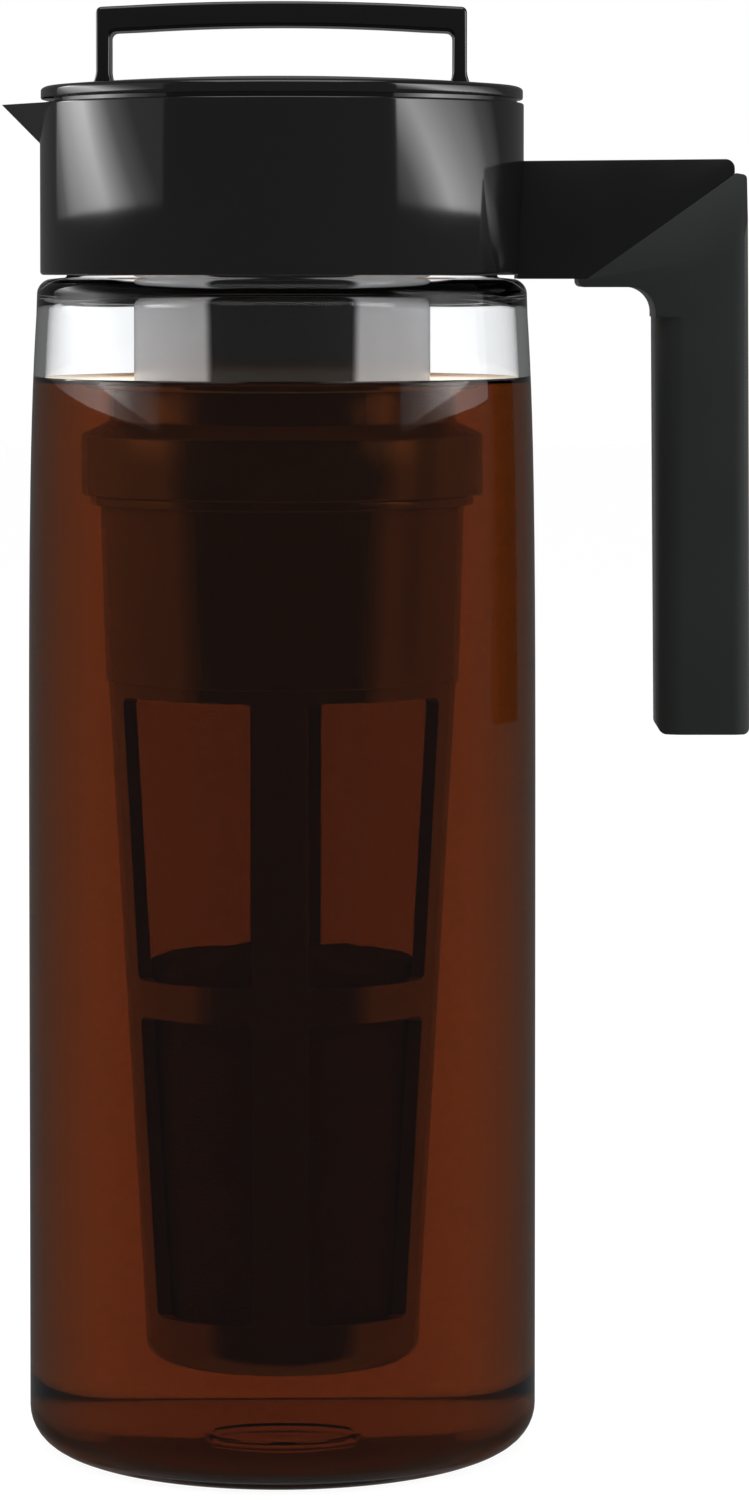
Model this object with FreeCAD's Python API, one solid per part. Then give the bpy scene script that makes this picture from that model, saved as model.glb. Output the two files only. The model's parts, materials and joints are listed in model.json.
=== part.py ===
# Cold brew coffee maker: clear pitcher with collar, spout and handle, a turning lid, and an infuser
# that locks with a twist into the tube under the lid.
# Millimetres. +Z is up, the spout points to -X and the handle to +X.
# The origin is on the pitcher's axis, in the plane that it stands on.

import FreeCAD, Part
import math
import os

V = FreeCAD.Vector

# Pitcher
body_radius = 52.8            # widest part of the clear wall
body_wall = 2.4
body_floor = 2.8
base_radius = 8.0             # rounding between wall and base
foot_width = 9.0              # flat ring that it stands on
foot_recess = 1.2             # height of the base inside that ring
shoulder_height = 238.4       # where the straight wall ends
shoulder_rise = 4.2
shoulder_draw = 2.0           # how much narrower the wall is at the shoulder
wall_taper = ((0.55, 0.0), (0.83, 0.4), (0.93, 0.9))   # share of that height, and how much narrower
shoulder_round = 1.7
gate_ring_radius = 11.0       # moulded ring in the middle of the floor
neck_bead = 1.0               # bead that holds the lock ring

# Collar, spout and handle
collar_inset = 2.6            # collar's radius is this much under the body's
collar_wall = 2.4
collar_height = 35.5
collar_gap = 0.8              # from the shoulder's top to the collar
rim_height = 22.6             # neck's rim above the collar's lower edge
shelf_thickness = 1.8
lip_height = 0.8              # lip inside the collar's top edge, which the lid rests on
lip_width = 1.0
lock_ring_wall = 2.8
lock_ring_height = 9.0
gasket_thickness = 1.2
spout_reach = 8.0             # past the collar
spout_half_width = 21.6       # where the spout's top edge meets the collar
spout_depth = 8.1
spout_wall = 1.7
spout_drop = 0.4              # tip below the collar's top edge
arm_height = 24.7
arm_reach = 43.3              # past the collar
joint_run = 30.6              # slanted joint between arm and grip, along X
joint_drop = 2.9              # its upper end, below the arm's top
arm_half_top = 7.0
arm_half_bottom = 14.0
finger_gap = 24.2             # from the body's wall to the grip
grip_depth = 19.0             # along X
grip_width = 23.0             # along Y
grip_length = 94.0            # below the arm's underside
grip_lean = 0.8               # foot of the grip stands out by this much
grip_skin = 2.3               # soft layer over the core
grip_drop = 1.7               # soft layer below the arm's underside
screw_radius = 1.5
screw_head_radius = 2.7
screw_head_height = 1.7
screw_length = 13.0
screw_spacing = 14.0

# Lid
lid_inset = 0.2               # lid's radius is this much under the collar's
lid_edge = 2.6                # thickness of the lid's rim
lid_crown = 2.0
loop_half_width = 38.6
loop_height = 17.6            # above the lid's rim, in the middle
loop_arch = 1.2
loop_leg = 2.9
loop_bar = 5.1
loop_depth = 12.0
plug_clearance = 0.5          # between plug and collar, and between skirt and neck
plug_wall = 2.4
plug_floor = 2.2
skirt_wall = 2.2
skirt_drop = 11.0             # skirt reaches this far below the neck's rim
port_angle = 34.0
inlet_angle = 70.0
seal_height = 1.8
seal_depth = 1.5              # of the lid seal's groove
skirt_seal_depth = 1.1        # of the skirt seal's groove
skirt_seal_rise = 3.0         # from the skirt's edge to its groove
seal_gap = 0.3                # between a seal and what it slides on
stem_radius = 30.8
stem_wall = 2.2
stem_bottom = 219.5
stem_rim_height = 3.2         # rim at the tube's foot, which the infuser's lugs rest on

# Infuser
neck_wall = 2.2
neck_top = 232.8
lug_count = 3                 # lugs on the neck, which turn over a rim in the stem tube
lug_reach = 1.6               # from the neck's wall to the stem tube's bore
lug_angle = 22.0
lug_height = 2.4
lug_clearance = 0.3
finger_ring_gap = 0.55        # round the sleeve
finger_ring_bottom = 197.6
finger_ring_height = 12.4
finger_ring_slope = 2.8
finger_ring_wall = 2.4
sleeve_radius = 28.35
sleeve_flange = 1.5           # flange under the finger ring stands out this much
sleeve_flange_height = 2.0
sleeve_bottom = 159.4
sleeve_draw = 0.85            # how much narrower the sleeve is at its lower end
frame_step = 0.4
frame_wall = 2.2
frame_bottom_radius = 21.3
infuser_bottom = 18.6
base_cap_height = 9.4
base_cap_radius = 4.6
window_top = 156.7
window_middle = 94.9
window_band = 7.5
window_bottom = 29.1
window_corner = 1.6
front_rib = 9.7               # width of the two ribs across Y
side_rib = 14.0               # width of the two ribs across X
mesh_thickness = 0.5
mesh_margin = 1.5             # past a window's edge
spigot_taper = 2.0            # height over which the frame's wall turns in to its spigot

# Places worked out from the sizes above
wall_inside = body_radius - body_wall
collar_radius = body_radius - collar_inset
collar_bore = collar_radius - collar_wall
collar_bottom = shoulder_height + shoulder_rise + collar_gap
collar_top = collar_bottom + collar_height
neck_rim = collar_bottom + rim_height
lock_ring_outer = collar_bore - 0.1
lock_ring_inner = lock_ring_outer - lock_ring_wall
neck_outer = lock_ring_inner - 0.2
neck_inner = neck_outer - body_wall
shelf_bottom = neck_rim + gasket_thickness
shelf_top = shelf_bottom + shelf_thickness
bead_height = shelf_bottom - lock_ring_height + 3.4
lid_bottom = collar_top + lip_height
lid_radius = collar_radius - lid_inset
lid_rim = lid_bottom + lid_edge
plug_radius = collar_bore - plug_clearance
plug_bottom = shelf_top + 0.3
plug_floor_top = plug_bottom + plug_floor
skirt_radius = neck_inner - plug_clearance
skirt_inside = skirt_radius - skirt_wall
skirt_bottom = neck_rim - skirt_drop
skirt_groove = skirt_bottom + skirt_seal_rise
lid_groove = lid_bottom - seal_height - 0.6
stem_bore = stem_radius - stem_wall
neck_radius = stem_bore - lug_reach
neck_bore = neck_radius - neck_wall
lug_bottom = stem_bottom + stem_rim_height
finger_ring_radius = sleeve_radius + finger_ring_gap + finger_ring_wall
sleeve_top = finger_ring_bottom + finger_ring_height - finger_ring_slope - 1.4
frame_top_radius = sleeve_radius - sleeve_draw - frame_step
arm_bottom = collar_bottom - 0.8
arm_end = collar_radius + arm_reach
grip_inside = body_radius + finger_gap
grip_outside = grip_inside + grip_depth
screw_height = collar_bottom + 5.6
screw_seat = math.sqrt(collar_bore ** 2 - (screw_spacing / 2 + screw_head_radius) ** 2) - 0.05
seam_angle = 52.0             # away from the ribs, the handle, the spout and the loop


def arc(centre, radius, start, end):
    """Two points for an outline: one half way along an arc and its end. Angles are in degrees."""
    points = []
    for angle in (math.radians((start + end) / 2), math.radians(end)):
        points.append((centre[0] + radius * math.cos(angle), centre[1] + radius * math.sin(angle)))
    return tuple(points)


def outline(steps, place):
    """Closed face. A step is a point, or two points for an arc: one on the way and its end."""
    edges = []
    here = steps[0]
    for step in list(steps[1:]) + [steps[0]]:
        if isinstance(step[0], tuple):
            way, end = step
            edges.append(Part.Arc(place(here), place(way), place(end)).toShape())
        else:
            end = step
            if math.dist(here, end) < 1e-6:
                continue
            edges.append(Part.LineSegment(place(here), place(end)).toShape())
        here = end
    return Part.Face(Part.Wire(edges))


def turned(*steps):
    """Solid of revolution about Z, from an outline of radius and height. Its seam is at seam_angle."""
    seam = math.radians(seam_angle)
    face = outline(steps, lambda p: V(p[0] * math.cos(seam), p[0] * math.sin(seam), p[1]))
    return face.revolve(V(0, 0, 0), V(0, 0, 1), 360)


def ring(inner, outer, bottom, top):
    """Ring or disc about Z."""
    solid = Part.makeCylinder(outer, top - bottom, V(0, 0, bottom))
    if inner > 0:
        solid = solid.cut(Part.makeCylinder(inner, top - bottom, V(0, 0, bottom)))
    return solid


def front_slab(steps, half_width):
    """Outline in X and Z, as thick as twice half_width along Y."""
    face = outline(steps, lambda p: V(p[0], -half_width, p[1]))
    return face.extrude(V(0, 2 * half_width, 0))


def side_slab(steps, low, high):
    """Outline in Y and Z, from low to high along X."""
    face = outline(steps, lambda p: V(low, p[0], p[1]))
    return face.extrude(V(high - low, 0, 0))


def plan_slab(steps, low, high):
    """Outline in X and Y, from low to high along Z."""
    face = outline(steps, lambda p: V(p[0], p[1], low))
    return face.extrude(V(0, 0, high - low))


def sector(inner, outer, middle, width, bottom, top):
    """Part of a ring, width degrees about the direction middle."""
    start = middle - width / 2
    block = Part.makeCylinder(outer, top - bottom, V(0, 0, bottom), V(0, 0, 1), width)
    block = block.cut(Part.makeCylinder(inner, top - bottom, V(0, 0, bottom)))
    return block.rotate(V(0, 0, 0), V(0, 0, 1), start)


def rounded_box(low, high, corner):
    """Outline of a rectangle whose first two corners, on the low side, are rounded."""
    (a, b), (c, d) = low, high
    return [
        (c, b), (c, d), (a + corner, d), arc((a + corner, d - corner), corner, 90, 180),
        (a, b + corner), arc((a + corner, b + corner), corner, 180, 270),
    ]


def make_pitcher_body():
    """Clear pitcher: rounded base, slightly tapered wall, shoulder, and a neck with a bead."""
    foot = body_radius - base_radius
    inside_round = base_radius - body_wall + 0.4
    floor = foot_recess + body_floor
    shoulder = body_radius - shoulder_draw
    fall = shoulder_round
    bead = bead_height
    outside = [(body_radius - draw, shoulder_height * share) for share, draw in wall_taper]
    inside = [(wall_inside - draw, height) for (share, draw), (x, height) in zip(wall_taper[:2], outside)]
    return turned(
        (0, foot_recess), (foot - foot_width - 1.5, foot_recess), (foot - foot_width, 0), (foot, 0),
        arc((foot, base_radius), base_radius, -90, 0),
        *outside, (shoulder, shoulder_height),
        arc((shoulder - fall, shoulder_height), fall, 0, 60),
        (collar_radius - 0.9, shoulder_height + shoulder_rise - 0.5),
        (collar_radius - 1.4, shoulder_height + shoulder_rise),
        (neck_outer, shoulder_height + shoulder_rise + 0.2),
        (neck_outer, bead - 1.4), (neck_outer + neck_bead, bead - 0.5), (neck_outer + neck_bead, bead + 0.5),
        (neck_outer, bead + 1.4), (neck_outer, neck_rim - 0.4), (neck_outer - 0.4, neck_rim),
        (neck_inner + 0.4, neck_rim), (neck_inner, neck_rim - 0.4),
        (neck_inner, shoulder_height + shoulder_rise - body_wall),
        (shoulder - body_wall - 2.5, shoulder_height + shoulder_rise - body_wall - 1.0),
        (shoulder - body_wall, shoulder_height - body_wall - 1.5),
        *reversed(inside),
        (wall_inside, floor + inside_round),
        arc((wall_inside - inside_round, floor + inside_round), inside_round, 0, -90),
        (gate_ring_radius + 0.8, floor), (gate_ring_radius, floor + 0.6), (gate_ring_radius - 0.8, floor),
        (0, floor),
    )


def spout_wedge(shift_x, shift_z):
    """Solid V of the spout, with its point away from the pitcher, moved by the two shifts."""
    tip = V(-collar_radius - spout_reach, 0, collar_top - spout_drop)
    heel = V(-collar_radius, 0, collar_top - spout_depth)
    corner_x = -math.sqrt(collar_radius ** 2 - spout_half_width ** 2)
    corners = [V(corner_x, side * spout_half_width, collar_top) for side in (-1, 1)]
    wedge_back = -0.72 * collar_radius      # inside the collar's bore, so that the solid V meets the band
    reach = (wedge_back - tip.x) / (corner_x - tip.x)
    points = [tip] + [tip + (corner - tip) * reach for corner in corners + [heel]]
    left, right, low = points[1:]
    faces = [Part.Face(Part.makePolygon([a, b, c, a])) for a, b, c in (
        (tip, left, right), (tip, right, low), (tip, low, left), (left, low, right))]
    solid = Part.Solid(Part.Shell(faces))
    if solid.Volume < 0:
        solid.reverse()
    solid.translate(V(shift_x, 0, shift_z))
    return solid


def make_collar():
    """Gloss band with the spout, the shelf over the neck's rim and the lip under the lid."""
    band = turned(
        (collar_bore, collar_bottom), (collar_radius - 0.5, collar_bottom),
        (collar_radius, collar_bottom + 0.5), (collar_radius, collar_top - 0.3),
        (collar_radius - 0.3, collar_top),
        (collar_bore + lip_width, collar_top), (collar_bore + lip_width, lid_bottom),
        (collar_bore, lid_bottom),
        (collar_bore, shelf_top), (neck_inner + 0.3, shelf_top), (neck_inner + 0.3, shelf_bottom),
        (collar_bore, shelf_bottom),
    )
    inside = Part.makeCylinder(collar_bore + 0.5, collar_height * 2,
        V(0, 0, collar_bottom - collar_height / 2))
    band = band.fuse(spout_wedge(0, 0).cut(inside))
    channel = spout_wedge(spout_wall * 0.94, spout_wall * 0.63)
    floor = ring(0, collar_bore - 0.3, collar_bottom, lid_bottom + 5)
    band = band.cut(channel.cut(floor))
    for side in (-0.5, 0.5):
        hole = Part.makeCylinder(
            screw_radius + 0.2, collar_wall * 4,
            V(collar_bore - collar_wall * 2, side * screw_spacing, screw_height), V(1, 0, 0))
        band = band.cut(hole)
    return band.removeSplitter()


def make_lock_ring():
    """Ring in the collar, with a groove that snaps over the neck's bead."""
    bottom = shelf_bottom - lock_ring_height
    bead = neck_outer + neck_bead + 0.2
    return turned(
        (lock_ring_inner + 0.6, bottom), (lock_ring_outer, bottom), (lock_ring_outer, shelf_bottom),
        (lock_ring_inner, shelf_bottom), (lock_ring_inner, bead_height + 1.5), (bead, bead_height + 0.7),
        (bead, bead_height - 0.7), (lock_ring_inner, bead_height - 1.5), (lock_ring_inner, bottom + 0.6),
    )


def make_neck_gasket():
    """Flat soft ring between the neck's rim and the collar's shelf."""
    return ring(neck_inner + 0.3, neck_outer - 0.1, neck_rim, shelf_bottom)


def handle_taper():
    """Space that the arm and the top of the grip keep to: narrow at the top, wide below."""
    top = arm_bottom + arm_height
    return side_slab(
        [(-arm_half_top, top + 1), (-arm_half_bottom, arm_bottom - 6), (arm_half_bottom, arm_bottom - 6),
         (arm_half_top, top + 1)], 0, arm_end * 2)


def joint_line():
    """Ends of the slanted line between arm and grip, seen from the front."""
    return (arm_end, arm_bottom + arm_height - joint_drop), (arm_end - joint_run, arm_bottom)


def core_outline(above):
    """Outline of the hard core inside the grip. Its upper end is that far above the slanted joint."""
    (top_x, top_z), (low_x, low_z) = joint_line()
    slope = (top_z - low_z) / (top_x - low_x)
    left = grip_inside + grip_skin
    right = top_x - 1.0
    foot = arm_bottom - grip_length + grip_skin
    return [
        (left, low_z + slope * (left - low_x) + above), (left + grip_lean, foot),
        (grip_outside - grip_skin + grip_lean, foot), (right, low_z + slope * (right - low_x) + above)]


def make_handle_arm():
    """Hard arm from the collar, and the core that runs down inside the grip."""
    (top_x, top_z), (low_x, low_z) = joint_line()
    top = arm_bottom + arm_height
    corner = 1.9
    root = collar_radius - 3.0
    fillet = 7.5
    fillet_end = collar_radius + 11
    arm = front_slab(
        [(root, arm_bottom), (low_x, low_z), (top_x, top_z), (top_x, top - corner),
         arc((top_x - corner, top - corner), corner, 0, 90), (root, top - 0.4)], 30)
    plan = plan_slab(
        [(collar_radius - 4.0, -arm_half_bottom), (collar_radius + 1.5, -arm_half_bottom + 0.6),
         arc((fillet_end, -grip_width / 2 - fillet), fillet, 150, 90), (arm_end + 2, -grip_width / 2),
         (arm_end + 2, grip_width / 2), (fillet_end, grip_width / 2),
         arc((fillet_end, grip_width / 2 + fillet), fillet, 270, 210),
         (collar_radius - 4.0, arm_half_bottom)], arm_bottom - 5, top + 5)
    arm = arm.common(plan).common(handle_taper())
    arm = arm.cut(Part.makeCylinder(collar_radius, top * 2))
    core = front_slab(core_outline(0.5), grip_width / 2 - grip_skin).common(handle_taper_inside())
    arm = arm.fuse(core)
    for side in (-0.5, 0.5):
        hole = Part.makeCylinder(screw_radius, screw_length, V(
            collar_bore, side * screw_spacing, screw_height), V(1, 0, 0))
        arm = arm.cut(hole)
    return arm.removeSplitter()


def handle_taper_inside():
    """The taper, narrower by the grip's soft layer."""
    top = arm_bottom + arm_height
    return side_slab(
        [(-arm_half_top + grip_skin, top + 1), (-arm_half_bottom + grip_skin, arm_bottom - 6),
         (-arm_half_bottom + grip_skin, arm_bottom - grip_length - 6),
         (arm_half_bottom - grip_skin, arm_bottom - grip_length - 6),
         (arm_half_bottom - grip_skin, arm_bottom - 6), (arm_half_top - grip_skin, top + 1)], 0, arm_end * 2)


def make_handle_grip():
    """Soft layer round the core: a rounded bar below, and a wedge that follows the arm's slant."""
    (top_x, top_z), (low_x, low_z) = joint_line()
    foot = arm_bottom - grip_length
    under = arm_bottom - grip_drop
    inner_round = 5.2
    nose = 1.2
    shape = front_slab(
        [(top_x + 0.3, top_z), (grip_outside - 1.0, top_z - 0.2),
         arc((grip_outside - 1.0, top_z - 1.2), 1.0, 90, 0),
         (grip_outside + grip_lean, foot + 1.5),
         arc((grip_outside + grip_lean - 1.5, foot + 1.5), 1.5, 0, -90),
         (grip_inside + grip_lean + 1.7, foot),
         arc((grip_inside + grip_lean + 1.7, foot + 1.7), 1.7, -90, -180),
         (grip_inside, under - inner_round),
         arc((grip_inside - inner_round, under - inner_round), inner_round, 0, 90),
         (low_x - 1.7 + nose, under), arc((low_x - 1.7 + nose, under + nose), nose, -90, -180),
         (low_x - 1.7, arm_bottom), (low_x, low_z)], grip_width / 2)
    bar = plan_slab(bar_section(), foot - 5, arm_bottom + arm_height)
    head = plan_slab(
        [(low_x - 10, -grip_width / 2), (grip_inside + 6, -grip_width / 2), (grip_inside + 6, grip_width / 2),
         (low_x - 10, grip_width / 2)], under - inner_round - 1, arm_bottom + arm_height)
    grip = shape.common(bar.fuse(head))
    top_part = plan_slab([(0, -30), (arm_end * 2, -30), (arm_end * 2, 30), (0, 30)], arm_bottom - 6,
        top_z + 2)
    below = plan_slab([(0, -30), (arm_end * 2, -30), (arm_end * 2, 30), (0, 30)], foot - 6, arm_bottom - 6)
    grip = grip.common(top_part).common(handle_taper()).fuse(grip.common(below))
    hole = front_slab(core_outline(0.5), grip_width / 2 - grip_skin).common(handle_taper_inside())
    arm_side = front_slab(
        [(low_x, low_z), (top_x, top_z), (top_x - 20, top_z + 20), (low_x - 20, low_z + 20)], 30)
    return grip.cut(hole).cut(arm_side).removeSplitter()


def bar_section():
    """Section of the grip's straight part: a rectangle with round corners."""
    half = grip_width / 2
    round_in, round_out = 6.0, 4.0
    left = grip_inside - 0.1
    right = grip_outside + grip_lean + 0.1
    return [
        (left + round_in, -half), (right - round_out, -half),
        arc((right - round_out, round_out - half), round_out, -90, 0),
        (right, half - round_out), arc((right - round_out, half - round_out), round_out, 0, 90),
        (left + round_in, half), arc((left + round_in, half - round_in), round_in, 90, 180),
        (left, round_in - half), arc((left + round_in, round_in - half), round_in, 180, 270),
    ]


def make_handle_screws():
    """Two screws, heads inside the collar, with a cross recess."""
    screws = []
    for side in (-0.5, 0.5):
        start = V(screw_seat, side * screw_spacing, screw_height)
        head_start = start - V(screw_head_height, 0, 0)
        screw = Part.makeCylinder(screw_head_radius, screw_head_height, head_start, V(1, 0, 0))
        screw = screw.makeChamfer(0.4, [screw.Edges[2]])
        screw = screw.fuse(Part.makeCylinder(screw_radius, screw_length, start, V(1, 0, 0)))
        for tall, wide in ((0.6, 2.6), (2.6, 0.6)):
            slot = Part.makeBox(0.9, wide, tall, head_start - V(0, wide / 2, tall / 2))
            screw = screw.cut(slot)
        screws.append(screw)
    return Part.makeCompound(screws)


def loop_outline():
    """Carry loop seen from the front: two legs, and a bar that arches a little."""
    half, leg = loop_half_width, loop_leg
    top = lid_rim + loop_height
    end = top - loop_arch
    foot = lid_rim - 0.8
    inside_round = 1.1
    flare = 1.0
    inner = half - leg
    under = end - loop_bar
    straight = lid_rim + 1.2 + flare
    return [
        (-half - flare, foot), (-half, straight), (-half, end - 1.0),
        arc((-half + 1.0, end - 1.0), 1.0, 180, 100),
        ((0, top), (half - 1.2, end)), arc((half - 1.0, end - 1.0), 1.0, 80, 0), (half, straight),
        (half + flare, foot), (inner - flare, foot), (inner, straight), (inner, under - inside_round),
        arc((inner - inside_round, under - inside_round), inside_round, 0, 90),
        ((0, top - loop_bar), (-inner + inside_round, under)),
        arc((-inner + inside_round, under - inside_round), inside_round, 90, 180),
        (-inner, straight), (-inner + flare, foot),
    ]


def make_lid_cap():
    """Lid with a slight crown, hollow below, and the carry loop moulded on it."""
    dome = lid_rim + lid_crown
    edge = lid_radius - 0.9
    ball = (edge ** 2 + lid_crown ** 2) / (2 * lid_crown)
    middle = (edge / 2, dome - ball + math.sqrt(ball ** 2 - edge ** 2 / 4))
    flat = dome - ball + math.sqrt(ball ** 2 - 1)
    inside = plug_radius - plug_wall
    hollow = lid_bottom + lid_crown
    cap = turned(
        (0, hollow), (6, hollow), (inside - 3, lid_bottom + 0.9), (inside, lid_bottom),
        (lid_radius, lid_bottom),
        (lid_radius, lid_rim - 0.7), (edge, lid_rim), (middle, (1, flat)), (0, flat),
    )
    return cap.fuse(front_slab(loop_outline(), loop_depth / 2))


def make_lid_plug():
    """Plug under the lid: outer wall with the port, floor with inlet slots, and skirt in the neck."""
    groove_bottom = lid_groove
    plug = turned(
        (0, plug_bottom), (skirt_inside, plug_bottom), (skirt_inside, skirt_bottom),
        (skirt_radius - 0.6, skirt_bottom), (skirt_radius, skirt_bottom + 0.6), (skirt_radius, skirt_groove),
        (skirt_radius - skirt_seal_depth, skirt_groove),
        (skirt_radius - skirt_seal_depth, skirt_groove + seal_height),
        (skirt_radius, skirt_groove + seal_height), (skirt_radius, plug_bottom), (plug_radius, plug_bottom),
        (plug_radius, groove_bottom), (plug_radius - seal_depth, groove_bottom),
        (plug_radius - seal_depth, groove_bottom + seal_height + seal_gap),
        (plug_radius, groove_bottom + seal_height + seal_gap),
        (plug_radius, lid_bottom), (plug_radius - plug_wall, lid_bottom),
        (plug_radius - plug_wall, plug_floor_top), (0, plug_floor_top),
    )
    port = sector(plug_radius - plug_wall - 1, plug_radius + 1, -90, port_angle,
                  plug_floor_top, groove_bottom - 0.7)
    inlet = sector(stem_radius + 1.0, skirt_inside - 0.6, -90, inlet_angle, plug_bottom - 1,
        plug_floor_top + 1)
    vent = sector(stem_radius + 2.0, skirt_inside - 1.6, 90, inlet_angle / 5, plug_bottom - 1,
        plug_floor_top + 1)
    return plug.cut(port).cut(inlet).cut(vent)


def make_lid_seal():
    """Upper soft ring, which the lid turns in."""
    inner = plug_radius - seal_depth + seal_gap
    outer = collar_bore - seal_gap
    bottom = lid_groove + seal_gap / 2
    middle = bottom + seal_height / 2
    return turned(
        (inner, bottom), (outer - 0.4, bottom), ((outer, middle), (outer - 0.4, bottom + seal_height)),
        (inner, bottom + seal_height),
    )


def make_skirt_seal():
    """Lower soft ring in the skirt's groove."""
    bottom = skirt_groove
    top = bottom + seal_height
    inner = skirt_radius - skirt_seal_depth
    outer = neck_inner - seal_gap / 2
    return turned(
        (inner, bottom), (outer - 0.4, bottom), ((outer, (bottom + top) / 2), (outer - 0.4, top)),
        (inner, top),
    )


def make_stem_tube():
    """Tube under the plug, with a ledge over the gasket and a notched rim that holds the infuser's lugs."""
    ledge = neck_top + gasket_thickness
    rim = neck_radius + lug_clearance
    tube = turned(
        (rim, stem_bottom), (stem_radius - 0.5, stem_bottom), (stem_radius, stem_bottom + 0.5),
        (stem_radius, plug_bottom), (stem_bore, plug_bottom), (stem_bore, ledge + 3.4),
        (neck_bore + 0.4, ledge + 1.4), (neck_bore + 0.4, ledge), (stem_bore, ledge),
        (stem_bore, lug_bottom), (rim, lug_bottom),
    )
    for turn in range(lug_count):
        middle = (turn + 0.5) * 360 / lug_count
        notch = sector(neck_radius - 1, stem_bore, middle, lug_angle + 4, stem_bottom - 1, lug_bottom + 1)
        tube = tube.cut(notch)
    return tube


def make_infuser_gasket():
    """Soft ring on the infuser's rim."""
    return ring(neck_bore + 0.3, neck_radius - 0.2, neck_top, neck_top + gasket_thickness - 0.05)


def make_infuser_neck():
    """Neck with lugs, and the finger ring that the infuser is turned by."""
    bottom = finger_ring_bottom
    top = bottom + finger_ring_height
    inside = finger_ring_radius - finger_ring_wall
    neck = turned(
        (neck_bore, sleeve_top), (inside, sleeve_top), (inside, bottom), (finger_ring_radius - 0.3, bottom),
        (finger_ring_radius, bottom + 0.3), (finger_ring_radius, top),
        (neck_radius, top + finger_ring_slope), (neck_radius, neck_top), (neck_bore, neck_top),
    )
    for turn in range(lug_count):
        middle = turn * 360 / lug_count
        lug = sector(neck_radius - 1, stem_bore - lug_clearance, middle, lug_angle,
                     lug_bottom, lug_bottom + lug_height)
        neck = neck.fuse(lug)
    return neck


def make_infuser_sleeve():
    """Solid upper tube of the infuser, with a flange under the finger ring."""
    flange_bottom = finger_ring_bottom - sleeve_flange_height
    inner = sleeve_radius - frame_wall
    low = sleeve_radius - sleeve_draw
    return turned(
        (low - frame_wall, sleeve_bottom), (low, sleeve_bottom), (sleeve_radius, flange_bottom),
        (sleeve_radius + sleeve_flange - 0.3, flange_bottom),
        (sleeve_radius + sleeve_flange, flange_bottom + 0.3),
        (sleeve_radius + sleeve_flange, finger_ring_bottom), (sleeve_radius, finger_ring_bottom),
        (sleeve_radius, sleeve_top), (inner, sleeve_top), (inner, flange_bottom),
    )


def frame_radius(height):
    """Outer radius of the tapered frame at a height."""
    cone_bottom = infuser_bottom + base_cap_height
    share = (height - cone_bottom) / (sleeve_bottom - cone_bottom)
    return frame_bottom_radius + share * (frame_top_radius - frame_bottom_radius)


def window_cutters():
    """Eight window shapes: two rows, one in each quarter between the ribs."""
    rows = (
        (window_middle + window_band / 2, window_top),
        (window_bottom, window_middle - window_band / 2),
    )
    cutters = []
    for low, high in rows:
        for side_x in (-1, 1):
            for side_y in (-1, 1):
                front = rounded_box((front_rib / 2, low), (60, high), window_corner)
                side = rounded_box((side_rib / 2, low), (60, high), window_corner)
                block = front_slab(front, 60).common(side_slab(side, 0, 60))
                if side_x < 0:
                    block = block.mirror(V(0, 0, 0), V(1, 0, 0))
                if side_y < 0:
                    block = block.mirror(V(0, 0, 0), V(0, 1, 0))
                cutters.append(block)
    return cutters


def make_infuser_frame():
    """Tapered frame: spigot into the sleeve, two rows of windows between four ribs."""
    bottom = infuser_bottom + base_cap_height
    spigot = sleeve_radius - sleeve_draw - frame_wall
    frame = turned(
        (frame_radius(bottom) - frame_wall, bottom), (frame_radius(bottom), bottom),
        (frame_radius(sleeve_bottom), sleeve_bottom), (spigot, sleeve_bottom), (spigot, sleeve_bottom + 6),
        (spigot - 1.4, sleeve_bottom + 6), (spigot - 1.4, sleeve_bottom),
        (frame_radius(sleeve_bottom) - frame_wall, sleeve_bottom - spigot_taper),
    )
    for cutter in window_cutters():
        frame = frame.cut(cutter)
    return frame


def make_filter_mesh(low, high):
    """Woven sleeve inside the frame, behind one row of windows."""
    top = frame_radius(high) - frame_wall - 0.1
    bottom = frame_radius(low) - frame_wall - 0.1
    return turned(
        (bottom - mesh_thickness, low), (bottom, low), (top, high), (top - mesh_thickness, high),
    )


def make_infuser_base():
    """Rounded cap that closes the frame's lower end."""
    top = infuser_bottom + base_cap_height
    outer = frame_radius(top)
    inner = outer - frame_wall
    low = outer - 0.3
    return turned(
        (0, infuser_bottom), (low - base_cap_radius, infuser_bottom),
        arc((low - base_cap_radius, infuser_bottom + base_cap_radius), base_cap_radius, -90, 0),
        (outer, top), (inner, top), (inner - 0.4, infuser_bottom + base_cap_radius + 0.4),
        arc((inner - 0.4 - 2.6, infuser_bottom + base_cap_radius + 0.4), 2.6, 0, -90),
        (0, infuser_bottom + 2.4),
    )


def export(name, shape):
    """Writes one node and prints what is in it."""
    solids = shape.Solids
    for solid in solids:
        if not solid.isValid() or solid.Volume <= 0:
            raise ValueError("bad solid in " + name)
    shape = solids[0] if len(solids) == 1 else Part.makeCompound(solids)
    shape.exportStep(os.path.join("parts", name + ".step"))
    print(name, len(solids), round(shape.Volume))


os.makedirs("parts", exist_ok=True)

band_low = window_middle - window_band / 2
band_high = window_middle + window_band / 2

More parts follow.
